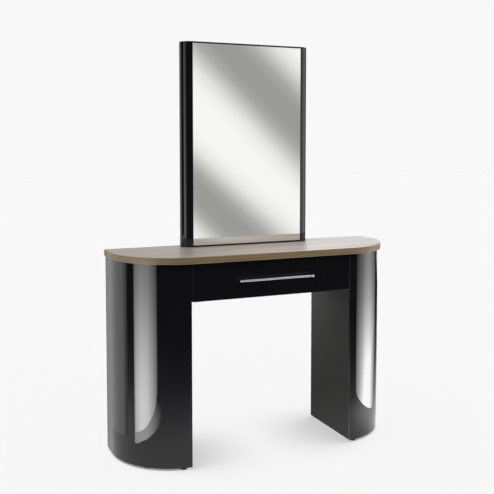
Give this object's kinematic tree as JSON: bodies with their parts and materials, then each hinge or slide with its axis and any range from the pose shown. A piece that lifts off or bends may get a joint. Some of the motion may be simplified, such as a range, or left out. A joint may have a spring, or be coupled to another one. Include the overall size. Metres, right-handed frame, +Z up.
{
  "type": "salon styling station",
  "caption": "Console styling station: rounded wood-look worktop on quarter-round gloss pedestals, a drawer with bar handle between them, and a tall framed mirror on top.",
  "frame": {"origin": "on the floor, at the middle of the whole station's footprint, handle included", "axes": "+X to the right, +Y to the back, +Z up; the drawer and mirror face -Y"},
  "size_m": [1.3, 0.41, 1.804],
  "materials": {
    "board_core": "raw particle board",
    "wood_laminate": "matt grey-brown wood-grain laminate",
    "edge_band": "satin wood-grain edge strip",
    "gloss_black": "high-gloss black lacquered board",
    "matte_charcoal": "matt charcoal faced board",
    "satin_black": "satin black faced board",
    "raw_board": "raw fibreboard",
    "foot_plastic": "moulded black plastic",
    "insert_brass": "turned brass",
    "drawer_board": "pale grey faced board",
    "runner_steel": "epoxy coated steel",
    "roller_nylon": "white nylon",
    "handle_chrome": "polished chrome",
    "screw_steel": "zinc plated",
    "mirror": "silvered glass",
    "backboard": "black faced hardboard",
    "rail_black": "satin black lacquered"
  },
  "bodies": {
    "station": {"worktop_core": "board_core", "worktop_laminate": "wood_laminate", "worktop_edge_band": "edge_band", "left_curved_shell": "gloss_black", "left_inner_panel": "matte_charcoal", "left_back_panel": "satin_black", "left_top_plate": "raw_board", "left_middle_former": "raw_board", "left_bottom_plate": "raw_board", "right_curved_shell": "gloss_black", "right_inner_panel": "matte_charcoal", "right_back_panel": "satin_black", "right_top_plate": "raw_board", "right_middle_former": "raw_board", "right_bottom_plate": "raw_board", "foot_inserts": "insert_brass", "carcass_left_side": "satin_black", "carcass_right_side": "satin_black", "carcass_back": "satin_black", "carcass_bottom": "satin_black", "left_cabinet_runner": "runner_steel", "right_cabinet_runner": "runner_steel", "mirror_glass": "mirror", "mirror_backboard": "backboard", "mirror_left_post": "gloss_black", "mirror_right_post": "gloss_black", "mirror_top_rail": "rail_black", "mirror_bottom_rail": "rail_black", "mirror_bolts": "screw_steel", "worktop_screws": "screw_steel", "carcass_bolts": "screw_steel", "cabinet_runner_screws": "screw_steel"},
    "drawer": {"drawer_front": "gloss_black", "drawer_box_front": "drawer_board", "drawer_left_side": "drawer_board", "drawer_right_side": "drawer_board", "drawer_box_back": "drawer_board", "drawer_bottom": "drawer_board", "left_drawer_runner": "runner_steel", "right_drawer_runner": "runner_steel", "handle_bar": "handle_chrome", "handle_left_post": "handle_chrome", "handle_right_post": "handle_chrome", "handle_end_caps": "handle_chrome", "handle_screws": "screw_steel", "drawer_screws": "screw_steel"},
    "left_front_roller": {"left_front_roller": "roller_nylon"},
    "left_rear_roller": {"left_rear_roller": "roller_nylon"},
    "right_front_roller": {"right_front_roller": "roller_nylon"},
    "right_rear_roller": {"right_rear_roller": "roller_nylon"},
    "left_foot_inner_front": {"left_foot_inner_front": "foot_plastic"},
    "left_foot_inner_back": {"left_foot_inner_back": "foot_plastic"},
    "left_foot_outer_back": {"left_foot_outer_back": "foot_plastic"},
    "left_foot_arc": {"left_foot_arc": "foot_plastic"},
    "right_foot_inner_front": {"right_foot_inner_front": "foot_plastic"},
    "right_foot_inner_back": {"right_foot_inner_back": "foot_plastic"},
    "right_foot_outer_back": {"right_foot_outer_back": "foot_plastic"},
    "right_foot_arc": {"right_foot_arc": "foot_plastic"}
  },
  "joints": [
    {"name": "drawer_slide", "type": "slide", "parent": "station", "child": "drawer", "axis": [0, -1, 0], "range_m": [0, 0.22]},
    {"name": "left_front_roller_spin", "type": "hinge", "parent": "station", "child": "left_front_roller", "pos_m": [-0.355, -0.136, 0.7356], "axis": [1, 0, 0], "continuous": true},
    {"name": "left_rear_roller_spin", "type": "hinge", "parent": "drawer", "child": "left_rear_roller", "pos_m": [-0.355, 0.137, 0.7356], "axis": [1, 0, 0], "continuous": true},
    {"name": "right_front_roller_spin", "type": "hinge", "parent": "station", "child": "right_front_roller", "pos_m": [0.355, -0.136, 0.7356], "axis": [1, 0, 0], "continuous": true},
    {"name": "right_rear_roller_spin", "type": "hinge", "parent": "drawer", "child": "right_rear_roller", "pos_m": [0.355, 0.137, 0.7356], "axis": [1, 0, 0], "continuous": true},
    {"name": "left_foot_inner_front_turn", "type": "hinge", "parent": "station", "child": "left_foot_inner_front", "pos_m": [-0.4085, -0.143, 0.003], "axis": [0, 0, 1], "continuous": true},
    {"name": "left_foot_inner_back_turn", "type": "hinge", "parent": "station", "child": "left_foot_inner_back", "pos_m": [-0.4085, 0.173, 0.003], "axis": [0, 0, 1], "continuous": true},
    {"name": "left_foot_outer_back_turn", "type": "hinge", "parent": "station", "child": "left_foot_outer_back", "pos_m": [-0.615, 0.173, 0.003], "axis": [0, 0, 1], "continuous": true},
    {"name": "left_foot_arc_turn", "type": "hinge", "parent": "station", "child": "left_foot_arc", "pos_m": [-0.54148, -0.06648, 0.003], "axis": [0, 0, 1], "continuous": true},
    {"name": "right_foot_inner_front_turn", "type": "hinge", "parent": "station", "child": "right_foot_inner_front", "pos_m": [0.4085, -0.143, 0.003], "axis": [0, 0, 1], "continuous": true},
    {"name": "right_foot_inner_back_turn", "type": "hinge", "parent": "station", "child": "right_foot_inner_back", "pos_m": [0.4085, 0.173, 0.003], "axis": [0, 0, 1], "continuous": true},
    {"name": "right_foot_outer_back_turn", "type": "hinge", "parent": "station", "child": "right_foot_outer_back", "pos_m": [0.615, 0.173, 0.003], "axis": [0, 0, 1], "continuous": true},
    {"name": "right_foot_arc_turn", "type": "hinge", "parent": "station", "child": "right_foot_arc", "pos_m": [0.54148, -0.06648, 0.003], "axis": [0, 0, 1], "continuous": true}
  ],
  "couplings": [
    {"joint": "left_front_roller_spin", "follows": "drawer_slide", "rad_per_m": 90.909},
    {"joint": "left_rear_roller_spin", "follows": "drawer_slide", "rad_per_m": 90.909},
    {"joint": "right_front_roller_spin", "follows": "drawer_slide", "rad_per_m": 90.909},
    {"joint": "right_rear_roller_spin", "follows": "drawer_slide", "rad_per_m": 90.909}
  ]
}
